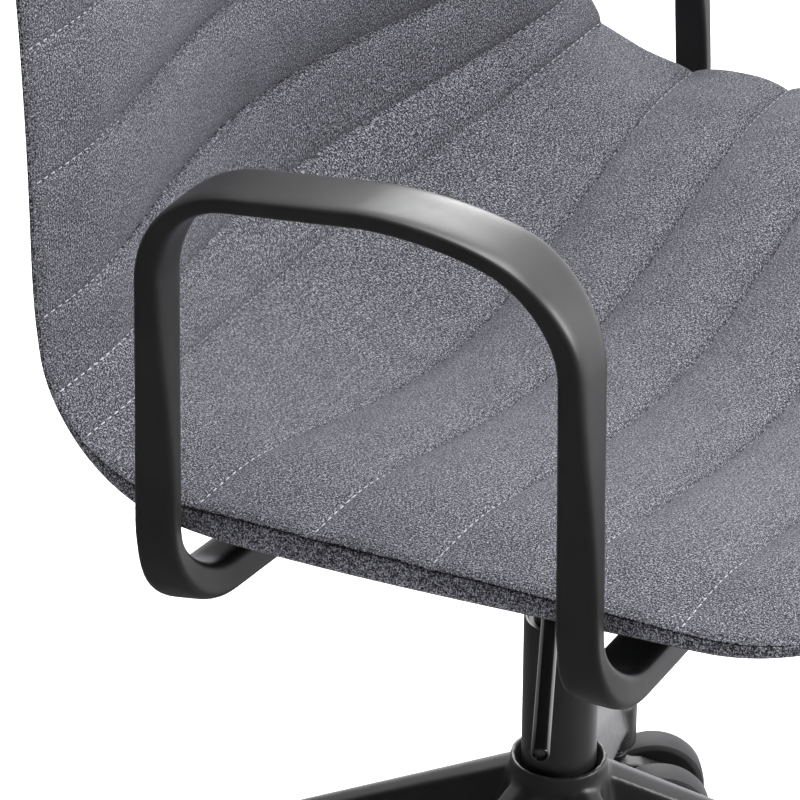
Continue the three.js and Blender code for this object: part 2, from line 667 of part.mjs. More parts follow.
// The wide axis is X on the top bar and is carried along both ways without twist, then levelled at a foot.
function withSections(route) {
  const middle = Math.round(route.length / 2);
  const wides = [];
  wides[middle] = new THREE.Vector3(1, 0, 0);
  const carry = (i, from) => {
    const turn = new THREE.Quaternion().setFromUnitVectors(route[from].along, route[i].along);
    wides[i] = wides[from].clone().applyQuaternion(turn);
  };
  for (let i = middle + 1; i < route.length; i++) carry(i, i - 1);
  for (let i = middle - 1; i >= 0; i--) carry(i, i + 1);
  return route.map((station, i) => {
    const [wideHalf, thinHalf] = sectionAt(station);
    const level = UP.clone().multiplyScalar(Math.sign(wides[i].z));
    const wide = wides[i].clone().lerp(level, footness(station.at)).normalize();
    const thin = new THREE.Vector3().crossVectors(station.along, wide).normalize();
    return { at: station.at, wide: wide.multiplyScalar(wideHalf), thin: thin.multiplyScalar(thinHalf) };
  });
}

function arm(side) {
  const holes = footSpots().map(([x, y]) => rod(3.3, FOOT_TOP - 20, FOOT_TOP + 5, 12).translate(side * x, y, 0));
  return cutAway(solid(armLoop(side)), holes);
}

place('arm_right', arm(-1), BLACK_PAINT);
place('arm_left', arm(1), BLACK_PAINT);

// ---------------------------------------------------------------- back handle

// How far behind the shell the handle's rear face is where it is screwed on.
const HANDLE_BACK = HANDLE_SEAT + 2 * HANDLE_HALF_THICKNESS;

function backHandle() {
  const steps = 16;
  const stations = [];
  for (let i = 0; i <= steps; i++) {
    const x = THREE.MathUtils.lerp(-HANDLE_END_X, HANDLE_END_X, i / steps);
    const away = 1 - THREE.MathUtils.smoothstep(Math.abs(x), 90, HANDLE_SCREW_X - 12);
    const end = THREE.MathUtils.smoothstep(Math.abs(x), HANDLE_SCREW_X, HANDLE_END_X);
    const reach = HANDLE_SEAT + HANDLE_STANDOFF * away + HANDLE_HALF_THICKNESS;
    stations.push({
      at: new THREE.Vector3(x, rearY(Math.min(Math.abs(x), HANDLE_SCREW_X), HANDLE_Z) + reach, HANDLE_Z),
      wide: new THREE.Vector3(0, 0, HANDLE_HALF_HEIGHT - 6 * end),
      thin: new THREE.Vector3(0, HANDLE_HALF_THICKNESS - 1.5 * end, 0),
    });
  }
  const bores = [-1, 1].flatMap((side) => [
    handleBore(side, 2.8, -5, 20),
    handleBore(side, 5.8, HANDLE_BACK - HANDLE_RECESS, HANDLE_BACK + 10),
  ]);
  return cutAway(solid(bar(stations, 8, 3.2)), bores);
}

place('back_handle', backHandle(), BLACK_PLASTIC);

['right', 'left'].forEach((name, i) => {
  const seat = HANDLE_BACK - HANDLE_RECESS + GAP;
  const mesh = place(`handle_screw_${name}`, screw(5, 3, 2.4, 0, seat + 3.6), STEEL);
  mesh.rotation.x = Math.PI / 2;
  mesh.position.set((2 * i - 1) * HANDLE_SCREW_X, rearY(HANDLE_SCREW_X, HANDLE_Z) + seat, HANDLE_Z);
});

// ---------------------------------------------------------------- casters

function casterHousing() {
  const boss = rod(STEM_LOWER_R + 3.4, 40, TIP_BOTTOM - 4.3);
  const cap = rod(10, TIP_BOTTOM - 9, TIP_BOTTOM - 4.3);
  const arm = new THREE.Shape();
  arm.moveTo(-7, 40);
  arm.lineTo(-7, 58);
  arm.quadraticCurveTo(12, 66, 32, 54);
  arm.quadraticCurveTo(40, 46, 38, WHEEL_R);
  arm.lineTo(20, WHEEL_R - 9);
  arm.closePath();
  const web = new THREE.ExtrudeGeometry(arm, { depth: 12, bevelEnabled: false, curveSegments: 3 });
  web.rotateX(Math.PI / 2).translate(0, 6, 0);
  const axleBore = new THREE.CylinderGeometry(AXLE_R + GAP, AXLE_R + GAP, 40, 12).translate(CASTER_TRAIL, 0, WHEEL_R);
  return cutAway(joined([boss, cap, web]), [rod(STEM_LOWER_R + GAP, 46, TIP_BOTTOM, 12), axleBore]);
}

function casterStem() {
  return turned([
    [0, 48], [STEM_LOWER_R, 48], [STEM_LOWER_R, TIP_BOTTOM - 4], [9, TIP_BOTTOM - 4],
    [9, TIP_BOTTOM - GAP], [STEM_R, TIP_BOTTOM - GAP], [STEM_R, TIP_TOP - 9], [STEM_R - 1.5, TIP_TOP - 7],
    [0, TIP_TOP - 7],
  ], 10);
}

// The dished outer face looks along the axle, away from the caster's middle plane.
function wheel(side) {
  const half = WHEEL_W / 2;
  return turned([
    [AXLE_R + 0.2, -half], [WHEEL_R - 2.5, -half], [WHEEL_R, -half + 2.5], [WHEEL_R, half - 2.5],
    [WHEEL_R - 2.5, half], [WHEEL_R - 7, half], [WHEEL_R - 9, half - 2], [AXLE_R + 0.2, half - 2],
    [AXLE_R + 0.2, -half],
  ], 16).rotateX(-side * Math.PI / 2).translate(CASTER_TRAIL, side * WHEEL_OFFSET, WHEEL_R);
}

for (let i = 0; i < LEG_COUNT; i++) {
  const number = i + 1;
  const azimuth = rad(LEG_FIRST_AZ + i * 360 / LEG_COUNT);
  const caster = new THREE.Group();
  caster.position.set(STEM_CIRCLE_R * Math.cos(azimuth), STEM_CIRCLE_R * Math.sin(azimuth), 0);
  caster.rotation.z = rad(TRAIL_AZ[i]);
  chair.add(caster);
  const axle = new THREE.CylinderGeometry(AXLE_R, AXLE_R, 2 * WHEEL_OFFSET + WHEEL_W - 4, 12);
  place(`caster_stem_${number}`, casterStem(), STEEL, caster);
  place(`caster_housing_${number}`, casterHousing(), BLACK_PLASTIC, caster);
  place(`caster_axle_${number}`, axle.translate(CASTER_TRAIL, 0, WHEEL_R), STEEL, caster);
  place(`caster_${number}_wheel_a`, wheel(-1), SOFT_PLASTIC, caster);
  place(`caster_${number}_wheel_b`, wheel(1), SOFT_PLASTIC, caster);
}

export default chair;
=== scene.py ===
"""Looks of the swivel office chair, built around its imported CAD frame.

Metres, +Z up, the sitter faces -Y.
"""
import json
import math

import bmesh
import bpy
import numpy as np
from mathutils import Matrix, Vector


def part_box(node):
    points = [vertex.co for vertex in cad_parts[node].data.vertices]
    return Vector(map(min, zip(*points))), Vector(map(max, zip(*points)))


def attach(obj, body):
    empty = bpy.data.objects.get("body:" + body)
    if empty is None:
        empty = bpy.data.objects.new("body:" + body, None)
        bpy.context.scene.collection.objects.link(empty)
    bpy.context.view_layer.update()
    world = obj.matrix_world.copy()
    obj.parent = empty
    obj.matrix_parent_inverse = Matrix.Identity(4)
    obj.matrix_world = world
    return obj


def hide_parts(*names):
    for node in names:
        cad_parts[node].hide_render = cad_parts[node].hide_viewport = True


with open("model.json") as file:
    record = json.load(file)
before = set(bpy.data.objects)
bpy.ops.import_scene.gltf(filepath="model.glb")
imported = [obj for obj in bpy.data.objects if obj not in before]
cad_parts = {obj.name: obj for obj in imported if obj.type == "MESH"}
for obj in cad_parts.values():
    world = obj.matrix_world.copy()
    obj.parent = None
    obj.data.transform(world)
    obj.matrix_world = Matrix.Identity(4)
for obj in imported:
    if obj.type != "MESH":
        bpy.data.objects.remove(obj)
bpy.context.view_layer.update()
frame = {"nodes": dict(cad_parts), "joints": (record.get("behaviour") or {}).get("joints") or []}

NODES = frame["nodes"]
JOINTS = {joint["name"]: joint for joint in frame["joints"]}
AXIS = Vector(JOINTS["seat_swivel"]["pos_m"])
AXIS_Y = AXIS.y
MM = 0.001

# ---------------------------------------------------------------- seat surface, lengths in millimetres

HALF_WIDTH = 264.7
TOP_HALF_WIDTH = 246.0
SEAT_FRONT_Y = -290.0
WATERFALL_Y, WATERFALL_R = -230.0, 300.0
SEAT_EDGE_Z = 525.6
BACK_Y, BEND_R, BACK_LEAN = 117.0, 57.0, math.radians(3.7)
RECLINE_Z, RECLINE_R, RECLINE_ANGLE = 700.0, 1030.0, math.radians(16)
FRONT_CORNER_R, FRONT_CORNER_AT, FRONT_CORNER_TURN = 55.0, 112.0, math.radians(61.5)
FRONT_FLAT, TOP_CORNER_R = 60.0, 90.0
GAP = 0.3
LUMBAR_SET_BACK, LUMBAR_AT, LUMBAR_REACH = 3.5, 450.0, 50.0
DISH_FRONT, DISH_SEAT, DISH_TOP, DISH_BEND = 24.0, 36.0, 22.0, 8.0
PAD_THICK, PAD_FRONT_EDGE, PAD_BACK_EDGE = 15.0, 6.5, 3.2
SHELL_THICK, SHELL_EDGE, SHELL_BACK_EDGE = 7.0, 3.0, 1.4
EDGE_REACH = 60.0

WATERFALL_ANGLE = math.asin((WATERFALL_Y - SEAT_FRONT_Y) / WATERFALL_R)
LINE_AT = WATERFALL_R * WATERFALL_ANGLE
BEND_FROM = LINE_AT + BACK_Y - BEND_R - WATERFALL_Y
BACK_FROM = BEND_FROM + BEND_R * (math.pi / 2 - BACK_LEAN)
BEND_TOP_Y = BACK_Y - BEND_R * (1 - math.cos(BACK_LEAN))
BEND_TOP_Z = SEAT_EDGE_Z + BEND_R * (1 - math.sin(BACK_LEAN))
RECLINE_FROM = BACK_FROM + (RECLINE_Z - BEND_TOP_Z) / math.cos(BACK_LEAN)
RECLINE_Y = BEND_TOP_Y + (RECLINE_Z - BEND_TOP_Z) * math.tan(BACK_LEAN)
LENGTH = RECLINE_FROM + RECLINE_R * (RECLINE_ANGLE - BACK_LEAN)
BEND_AT = BEND_FROM + BEND_R * math.pi / 4
FRONT_JOIN = FRONT_CORNER_AT - FRONT_CORNER_R * math.sin(FRONT_CORNER_TURN)
FRONT_JOIN_X = HALF_WIDTH - FRONT_CORNER_R * (1 - math.cos(FRONT_CORNER_TURN))
FRONT_BOW = (FRONT_JOIN_X ** 2 - FRONT_FLAT ** 2) / FRONT_JOIN

# Sewn channel seams, as distances along the surface from the front edge.
SEAMS = [67, 122, 176, 231, 285.5, 340, 398, 419, 452, 512, 569, 625.5, 682, 740]


def smoothstep(x, low, high):
    t = np.clip((np.asarray(x, float) - low) / (high - low), 0, 1)
    return t * t * (3 - 2 * t)


def lerp(a, b, t):
    return a + (b - a) * t


def profile(s):
    """Place (y, z) and direction (ty, tz) on the side profile at distance s."""
    s = np.asarray(s, float)
    fall = math.pi / 2 + WATERFALL_ANGLE - s / WATERFALL_R
    bend = -math.pi / 2 + (s - BEND_FROM) / BEND_R
    lean = math.pi - BACK_LEAN - (s - RECLINE_FROM) / RECLINE_R
    up, back = math.cos(BACK_LEAN), math.sin(BACK_LEAN)
    zero, one = np.zeros_like(s), np.ones_like(s)
    pieces = [
        (s < LINE_AT, WATERFALL_Y + WATERFALL_R * np.cos(fall),
         SEAT_EDGE_Z - WATERFALL_R + WATERFALL_R * np.sin(fall), np.sin(fall), -np.cos(fall)),
        (s < BEND_FROM, WATERFALL_Y + s - LINE_AT, SEAT_EDGE_Z + zero, one, zero),
        (s < BACK_FROM, BACK_Y - BEND_R + BEND_R * np.cos(bend),
         SEAT_EDGE_Z + BEND_R + BEND_R * np.sin(bend), -np.sin(bend), np.cos(bend)),
        (s < RECLINE_FROM, BEND_TOP_Y + (s - BACK_FROM) * back, BEND_TOP_Z + (s - BACK_FROM) * up,
         back + zero, up + zero),
        (s >= RECLINE_FROM, RECLINE_Y + RECLINE_R * (up + np.cos(lean)),
         RECLINE_Z + RECLINE_R * (np.sin(lean) - back), np.sin(lean), -np.cos(lean)),
    ]
    tests = [piece[0] for piece in pieces]
    return [np.select(tests, [piece[i] for piece in pieces]) for i in range(1, 5)]


def straight_half_width(s):
    return lerp(HALF_WIDTH, TOP_HALF_WIDTH, smoothstep(s, BEND_AT + 60, LENGTH))


def corner_inset(distance, radius):
    d = np.clip(distance, 0, radius)
    return radius - np.sqrt(radius ** 2 - (radius - d) ** 2)


def front_inset(s):
    bow = HALF_WIDTH - np.sqrt(FRONT_FLAT ** 2 + FRONT_BOW * np.clip(s, 0, None))
    return np.where(s < FRONT_JOIN, bow, corner_inset(s - FRONT_CORNER_AT + FRONT_CORNER_R, FRONT_CORNER_R))


def half_width(s):
    return straight_half_width(s) - front_inset(s) - corner_inset(LENGTH - s, TOP_CORNER_R)


def rim_distance(s, x):
    """Distance from the edge of the outline: bowed front, rounded corners, straight sides."""
    wide, far = straight_half_width(s), np.abs(x)
    front = (s - np.maximum(far ** 2 - FRONT_FLAT ** 2, 0) / FRONT_BOW) / np.hypot(1, 2 * far / FRONT_BOW)
    front = np.where(far < FRONT_JOIN_X, front, 1e3)
    nearest = np.minimum(wide - far, np.minimum(front, LENGTH - s))
    dx, ds = far - (HALF_WIDTH - FRONT_CORNER_R), FRONT_CORNER_AT - s
    corner = (dx > 0) & (ds > 0) & (np.arctan2(ds, dx) < FRONT_CORNER_TURN)
    nearest = np.where(corner, FRONT_CORNER_R - np.hypot(dx, ds), nearest)
    dx, ds = far - (wide - TOP_CORNER_R), TOP_CORNER_R - (LENGTH - s)
    corner = (dx > 0) & (ds > 0)
    nearest = np.where(corner, TOP_CORNER_R - np.hypot(dx, ds), nearest)
    return np.maximum(nearest, 0)


def dish(s, x):
    """How far the seat is hollowed below its profile: across it, at the bend and at the lumbar."""
    front = lerp(DISH_FRONT, DISH_SEAT, smoothstep(s, 0, 150))
    top = lerp(DISH_TOP, front, smoothstep(LENGTH - s, 0, 260))
    depth = np.minimum(front, top) + DISH_BEND * np.exp(-(((s - BEND_AT) / 70) ** 2))
    hollow = depth * (1 + np.cos(math.pi * np.minimum(np.abs(x) / HALF_WIDTH, 1))) / 2
    return hollow + LUMBAR_SET_BACK * np.exp(-(((s - LUMBAR_AT) / LUMBAR_REACH) ** 2))


def seat_point(s, x, height):
    """Point at distance s along the seat, x across it and height above its surface, in metres."""
    s, x, height = np.broadcast_arrays(s, x, height)
    y, z, ty, tz = profile(s)
    lift = height - dish(s, x)
    return np.stack([x, y - tz * lift + AXIS_Y / MM, z + ty * lift], -1) * MM


def backness(s):
    return smoothstep(s, BEND_AT - 75, BEND_AT + 30)


def pad_bottom(s, x):
    on_seat = lerp(PAD_FRONT_EDGE, PAD_THICK, smoothstep(s, 40, 300))
    at_edge = lerp(on_seat, PAD_BACK_EDGE, backness(s))
    return -lerp(at_edge, PAD_THICK, smoothstep(rim_distance(s, x), 0, EDGE_REACH))


def shell_bottom(s, x):
    inwards = smoothstep(rim_distance(s, x), 0, EDGE_REACH)
    at_edge = lerp(SHELL_EDGE, SHELL_BACK_EDGE, backness(s))
    return pad_bottom(s, x) - GAP - lerp(at_edge, SHELL_THICK, inwards)


def seam_gap(s):
    """Distance to the nearest seam, how far across its channel a place is, and the channel's width."""
    lines = np.array([0.0, *SEAMS, LENGTH])
    i = np.clip(np.searchsorted(lines, s, side="right"), 1, len(lines) - 1)
    before, after = lines[i - 1], lines[i]
    to_before = np.where(i == 1, 1e3, s - before)
    to_after = np.where(i == len(lines) - 1, 1e3, after - s)
    return np.minimum(to_before, to_after), (s - before) / (after - before), after - before


PUFF, PUFF_ROUNDNESS, FULL_CHANNEL = 6.6, 2.8, 57
PUFF_AT_RIGHT_RIM, PUFF_AT_LEFT_RIM = 0.08, 0.8
PUFF_REACH_RIGHT, PUFF_REACH_LEFT = 125, 60
SUNK_RIGHT, SUNK_LEFT = 0.8, 0.1
CROWN, CROWN_REACH = 4, 60


def settled(s, x):
    """Slow unevenness of the padding, where it has settled under the cloth."""
    slow = np.sin(s / 31 + np.sin(x / 47)) * np.sin(x / 58 + 1.3 * np.sin(s / 71))
    quick = np.sin(s / 13 + x / 37 + 2 * np.sin(x / 61)) * np.sin(x / 19 - s / 43)
    return 0.55 * slow + 0.25 * quick


def pad_top(s, x):
    """Height of the cushion's upper face: puffed between the seams, flatter near the right side."""
    rim = rim_distance(s, x)
    near, across, wide = seam_gap(s)
    left = smoothstep(x, -150, 150)
    at_rim = lerp(PUFF_AT_RIGHT_RIM, PUFF_AT_LEFT_RIM, left)
    inwards = smoothstep(rim / lerp(PUFF_REACH_RIGHT, PUFF_REACH_LEFT, left), 0, 1)
    size = PUFF * np.sqrt(np.minimum(wide / FULL_CHANNEL, 1)) * lerp(at_rim, 1, inwards)
    puff = size * (1 - np.abs(2 * across - 1) ** PUFF_ROUNDNESS)
    puff = puff + settled(s, x) * smoothstep(rim, 4, 40) * smoothstep(near, 0, 16)
    groove = 0.9 * np.exp(-((near / 1.5) ** 2)) * smoothstep(rim, 0, 4)
    crown = CROWN * smoothstep(rim, 0, CROWN_REACH)
    rolled = 1.1 * (1 - np.clip(rim / 4, 0, 1)) ** 2
    return crown - lerp(SUNK_RIGHT, SUNK_LEFT, left) * size + puff - groove - rolled


# ---------------------------------------------------------------- mesh helpers

def make_mesh(name, points, faces, smooth=True):
    mesh = bpy.data.meshes.new(name)
    mesh.from_pydata([tuple(p) for p in np.asarray(points, float)], [], faces)
    mesh.validate()
    mesh.update()
    if smooth:
        mesh.shade_smooth()
    piece = bpy.data.objects.new(name, mesh)
    bpy.context.scene.collection.objects.link(piece)
    return piece


def dress(piece, body, slot, finish, *nodes):
    """Gives a piece its body and material, and hides the CAD nodes that it stands for; the slot is not
    used.
    """
    if not piece.data.materials:
        piece.data.materials.append(finish)
    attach(piece, body)
    if nodes:
        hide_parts(*nodes)
    return piece


def grid_faces(rows, columns, first=0, closed=False):
    """Faces of a grid of points; closed joins the last column to the first."""
    faces = []
    for i in range(rows - 1):
        for j in range(columns if closed else columns - 1):
            a, b = first + i * columns + j, first + i * columns + (j + 1) % columns
            faces.append((a, b, b + columns, a + columns))
    return faces


def keep_sharp(piece, angle):
    """Smooth shading that stops at edges sharper than an angle in degrees."""
    mesh = piece.data
    faces = {}
    for polygon in mesh.polygons:
        for key in polygon.edge_keys:
            faces.setdefault(key, []).append(polygon.normal.copy())
    limit = math.cos(math.radians(angle))
    for edge in mesh.edges:
        normals = faces.get(tuple(sorted(edge.vertices)), [])
        edge.use_edge_sharp = len(normals) == 2 and normals[0].dot(normals[1]) < limit
    return piece


def turned(name, points, sides, place):
    """A closed turned piece; points are (radius, height) in millimetres, place is where it goes."""
    ring = [2 * math.pi * i / sides for i in range(sides)]
    verts, rows = [], []
    for radius, height in points:
        if radius < 1e-6:
            rows.append([len(verts)] * sides)
            verts.append((0, 0, height * MM))
        else:
            rows.append(list(range(len(verts), len(verts) + sides)))
            verts += [(radius * MM * math.cos(a), radius * MM * math.sin(a), height * MM) for a in ring]
    faces = []
    for below, above in zip(rows, rows[1:]):
        for j in range(sides):
            k = (j + 1) % sides
            corners = [below[j], below[k], above[k], above[j]]
            face = [v for i, v in enumerate(corners) if v not in corners[:i]]
            if len(face) > 2:
                faces.append(face)
    piece = make_mesh(name, verts, faces)
    piece.data.transform(place)
    tidy(piece)
    return keep_sharp(piece, 35)


def tidy(piece):
    """Welds coincident points and turns all faces outwards."""
    work = bmesh.new()
    work.from_mesh(piece.data)
    bmesh.ops.remove_doubles(work, verts=work.verts, dist=1e-6)
    bmesh.ops.recalc_face_normals(work, faces=work.faces)
    work.to_mesh(piece.data)
    work.free()
    piece.data.update()
    return piece


def swept(name, stations, sides, squareness):
    """A closed bar along stations (place, wide half-axis, thin half-axis) with a superellipse section."""
    angles = [2 * math.pi * (i + 0.5) / sides for i in range(sides)]
    verts = []
    for at, wide, thin in stations:
        for a in angles:
            c, s = math.cos(a), math.sin(a)
            reach = (abs(c) ** squareness + abs(s) ** squareness) ** (1 / squareness)
            verts.append(at + wide * (c / reach) + thin * (s / reach))
    faces = grid_faces(len(stations), sides, closed=True)
    last = (len(stations) - 1) * sides
    faces.append(tuple(range(sides))[::-1])
    faces.append(tuple(range(last, last + sides)))
    return tidy(make_mesh(name, verts, faces))


def softened(name, node, voxel, rounds):
    """A CAD node's own shape with its edges and inner corners rounded over."""
    piece = bpy.data.objects.new(name, NODES[node].data.copy())
    bpy.context.scene.collection.objects.link(piece)
    piece.data.materials.clear()
    remesh = piece.modifiers.new("remesh", "REMESH")
    remesh.mode = "VOXEL"
    remesh.voxel_size = voxel
    smooth = piece.modifiers.new("smooth", "SMOOTH")
    smooth.factor = 0.5
    smooth.iterations = rounds
    bpy.context.view_layer.update()
    evaluated = piece.evaluated_get(bpy.context.evaluated_depsgraph_get())
    mesh = bpy.data.meshes.new_from_object(evaluated)
    piece.modifiers.clear()
    piece.data = mesh
    mesh.shade_smooth()
    return piece


# ---------------------------------------------------------------- materials

class Shader:
    """A node material, built in the order its nodes are added."""

    def __init__(self, name):
        self.material = bpy.data.materials.new(name)
        self.material.use_nodes = True
        self.tree = self.material.node_tree
        self.surface = self.tree.nodes["Principled BSDF"]

    def add(self, kind, inputs=(), **settings):
        node = self.tree.nodes.new(kind)
        for key, value in settings.items():
            setattr(node, key, value)
        for key, value in dict(inputs).items():
            self.link(value, node.inputs[key])
        return node

    def link(self, value, socket):
        if isinstance(value, bpy.types.NodeSocket):
            self.tree.links.new(value, socket)
        else:
            socket.default_value = value

    def set(self, **values):
        for key, value in values.items():
            self.link(value, self.surface.inputs[key.replace("_", " ")])

    def math(self, operation, a, b=0.0):
        return self.add("ShaderNodeMath", {0: a, 1: b}, operation=operation).outputs[0]

    def noise(self, vector, scale, detail=2.0, roughness=0.5):
        values = {"Vector": vector, "Scale": scale, "Detail": detail, "Roughness": roughness}
        return self.add("ShaderNodeTexNoise", values).outputs["Fac"]

    def stretched(self, vector, scale):
        values = {"Vector": vector, "Scale": scale}
        return self.add("ShaderNodeMapping", values, vector_type="POINT").outputs["Vector"]

    def ramp(self, value, stops):
        node = self.add("ShaderNodeValToRGB", {"Fac": value})
        ramp = node.color_ramp
        while len(ramp.elements) < len(stops):
            ramp.elements.new(0.5)
        for element, (position, color) in zip(ramp.elements, stops):
            element.position = position
            element.color = (*color, 1)
        return node.outputs["Color"]

    def mix(self, kind, factor, a, b):
        node = self.add("ShaderNodeMix", data_type="RGBA", blend_type=kind)
        self.link(factor, node.inputs[0])
        self.link(a, node.inputs[6])
        self.link(b, node.inputs[7])
        return node.outputs[2]

    def bump(self, height, distance, strength=1.0, normal=None):
        values = {"Height": height, "Distance": distance, "Strength": strength}
        if normal is not None:
            values["Normal"] = normal
        return self.add("ShaderNodeBump", values).outputs["Normal"]


def grey(value, tint=(1, 1, 1)):
    return tuple(value * t for t in tint)


def cloth_material(name, level, on_band=False):
    """Melange plain weave: light and dark flecked yarns running both ways, with fuzz and a soft bump.

    The side band takes its yarns from the piece's own space, the rest of the cushion from the UVs.
    """
    shader = Shader(name)
    place = shader.add("ShaderNodeTexCoord")
    solid = place.outputs["Object"]
    uv = solid if on_band else place.outputs["UV"]
    warp_scale, weft_scale = (2000, 780, 1), (780, 2000, 1)
    if on_band:
        warp_scale, weft_scale = (2000, 2000, 780), (780, 780, 2000)
    warp = shader.noise(shader.stretched(uv, warp_scale), 1.0, 1.5, 0.6)
    weft = shader.noise(shader.stretched(uv, weft_scale), 1.0, 1.5, 0.6)
    over = shader.noise(shader.stretched(uv, (1300, 1300, 1300)), 1.0, 0.0)
    which = shader.ramp(over, [(0.47, (0, 0, 0)), (0.53, (1, 1, 1))])
    fleck = shader.add("ShaderNodeMix", data_type="FLOAT")
    shader.link(which, fleck.inputs[0])
    shader.link(warp, fleck.inputs[2])
    shader.link(weft, fleck.inputs[3])
    fleck = fleck.outputs[0]
    tint = (0.985, 0.985, 1.13)
    color = shader.ramp(fleck, [
        (0.40, grey(0.008 * level, tint)), (0.475, grey(0.032 * level, tint)),
        (0.53, grey(0.098 * level, tint)), (0.63, grey(0.36 * level, tint)),
    ])
    cloud = shader.ramp(shader.noise(solid, 55.0, 3.0), [(0.3, grey(0.90)), (0.7, grey(1.10))])
    color = shader.mix("MULTIPLY", 1.0, color, cloud)
    wave = {"Vector": uv, "Scale": 190.0, "Distortion": 1.2, "Detail": 1.0}
    yarns = shader.add("ShaderNodeTexWave", wave)
    cross = shader.add("ShaderNodeTexWave", wave, bands_direction="Y")
    weave = shader.math("MULTIPLY", yarns.outputs["Fac"], cross.outputs["Fac"])
    height = shader.math("ADD", weave, shader.math("MULTIPLY", fleck, 1.4))
    shader.set(
        Base_Color=color, Roughness=0.92, Specular_IOR_Level=0.2,
        Sheen_Weight=0.12, Sheen_Roughness=0.45, Sheen_Tint=(0.8, 0.82, 0.9, 1),
        Normal=shader.bump(height, 0.00035, 0.8),
    )
    return shader.material


def moulded_material(name, color, roughness, grain=900.0, depth=0.00005, specular=0.5):
    """Moulded nylon or powder coat: fine grain in the bump and a little wear in the gloss."""
    shader = Shader(name)
    solid = shader.add("ShaderNodeTexCoord").outputs["Object"]
    mottled = shader.noise(solid, 45.0, 4.0)
    tone = shader.ramp(mottled, [(0.3, grey(0.88)), (0.7, grey(1.12))])
    base = shader.mix("MULTIPLY", 1.0, (*color, 1), tone)
    edge = shader.add("ShaderNodeNewGeometry").outputs["Pointiness"]
    worn = shader.ramp(edge, [(0.53, (0, 0, 0)), (0.64, grey(0.03))])
    base = shader.mix("ADD", 1.0, base, worn)
    gloss = shader.add("ShaderNodeMapRange", {
        "Value": shader.noise(solid, 160.0, 3.0), "To Min": roughness - 0.05, "To Max": roughness + 0.06,
    }).outputs[0]
    shader.set(
        Base_Color=base, Roughness=gloss, Specular_IOR_Level=specular,
        Normal=shader.bump(shader.noise(solid, grain, 2.0), depth, 0.6),
    )
    return shader.material


def metal_material(name, color, roughness):
    """Turned steel: rings of fine scratches round the piece's own height."""
    shader = Shader(name)
    solid = shader.add("ShaderNodeTexCoord").outputs["Object"]
    rings = shader.noise(shader.stretched(solid, (120, 120, 2600)), 1.0, 2.0)
    gloss = shader.add("ShaderNodeMapRange", {
        "Value": rings, "To Min": roughness - 0.08, "To Max": roughness + 0.1,
    }).outputs[0]
    tone = shader.ramp(shader.noise(solid, 70.0, 3.0), [(0.3, grey(0.86)), (0.7, grey(1.08))])
    shader.set(
        Base_Color=shader.mix("MULTIPLY", 1.0, (*color, 1), tone), Metallic=1.0, Roughness=gloss,
        Normal=shader.bump(rings, 0.00003, 0.5),
    )
    return shader.material


CLOTH = cloth_material("cloth_melange", 0.72)
# The side band gets a copy of the same cloth painted lighter (level 0.95 against 0.72): painted light that
# makes up for the shade falling on the band's sides.
BAND_CLOTH_PAINTED_LIGHTER = cloth_material("cloth_band_painted_lighter", 0.95, on_band=True)
THREAD = moulded_material("sewing_thread", (0.36, 0.36, 0.39), 0.85, 2400.0, 0.0001, 0.2)
BLACK = moulded_material("powder_coat", (0.016, 0.016, 0.0155), 0.36, 1500.0, 0.00003, 0.42)
COLUMN = moulded_material("column_paint", (0.020, 0.0195, 0.019), 0.34, 1800.0, 0.00002, 0.4)
NYLON = moulded_material("black_nylon", (0.007, 0.007, 0.007), 0.45, 1100.0, 0.00005, 0.45)
TREAD = moulded_material("wheel_tread", (0.026, 0.026, 0.027), 0.62, 900.0, 0.00006, 0.3)
LACQUER = moulded_material("gloss_lacquer", (0.006, 0.006, 0.006), 0.16, 300.0, 0.00001, 0.6)
SHELL = moulded_material("moulded_shell", (0.045, 0.045, 0.048), 0.55, 700.0, 0.00008, 0.4)
STEEL = metal_material("turned_steel", (0.55, 0.56, 0.57), 0.34)
BY_SLOT = {"base_black": BLACK, "steel": STEEL, "plastic_black": NYLON}

# ---------------------------------------------------------------- cushion


def seat_rows():
    """Distances along the seat: a plain pitch, close together at the seams and round the corners."""
    rows = list(np.arange(0, LENGTH, 5.5))
    for seam in SEAMS:
        rows = [s for s in rows if abs(s - seam) > 5.2]
        rows += [seam + d for d in (-4.6, -2.8, -1.5, -0.7, 0, 0.7, 1.5, 2.8, 4.6)]
    front = [(x * x - FRONT_FLAT ** 2) / FRONT_BOW for x in np.linspace(FRONT_FLAT, FRONT_JOIN_X, 14)]
    turn = np.linspace(FRONT_CORNER_TURN, 0, 16)
    front += [FRONT_CORNER_AT - FRONT_CORNER_R * math.sin(angle) for angle in turn[1:]]
    rear = [LENGTH - TOP_CORNER_R * (1 - math.cos(math.radians(4.5 * i))) for i in range(10)]
    kept = [s for s in rows if s < min(rear) - 1]
    rows = front + [s for s in kept if min(abs(s - f) for f in front) > 0.6] + rear
    return np.array(sorted(rows))


COLUMNS = 132
ROWS = seat_rows()
ACROSS = np.linspace(-1, 1, COLUMNS + 1)
ACROSS = 0.55 * ACROSS + 0.45 * np.sin(ACROSS * math.pi / 2)


def seat_grid(inset=0.0):
    s = np.repeat(ROWS[:, None], len(ACROSS), 1)
    x = ACROSS[None, :] * np.maximum(half_width(ROWS) - inset, 1)[:, None]
    return inset + s * (1 - 2 * inset / LENGTH), x


def rim_loop():
    """Indices of the grid's outline, in order."""
    rows, columns = len(ROWS), len(ACROSS)
    loop = [(0, j) for j in range(columns)]
    loop += [(i, columns - 1) for i in range(1, rows)]
    loop += [(rows - 1, j) for j in range(columns - 2, -1, -1)]
    loop += [(i, 0) for i in range(rows - 2, 0, -1)]
    return loop


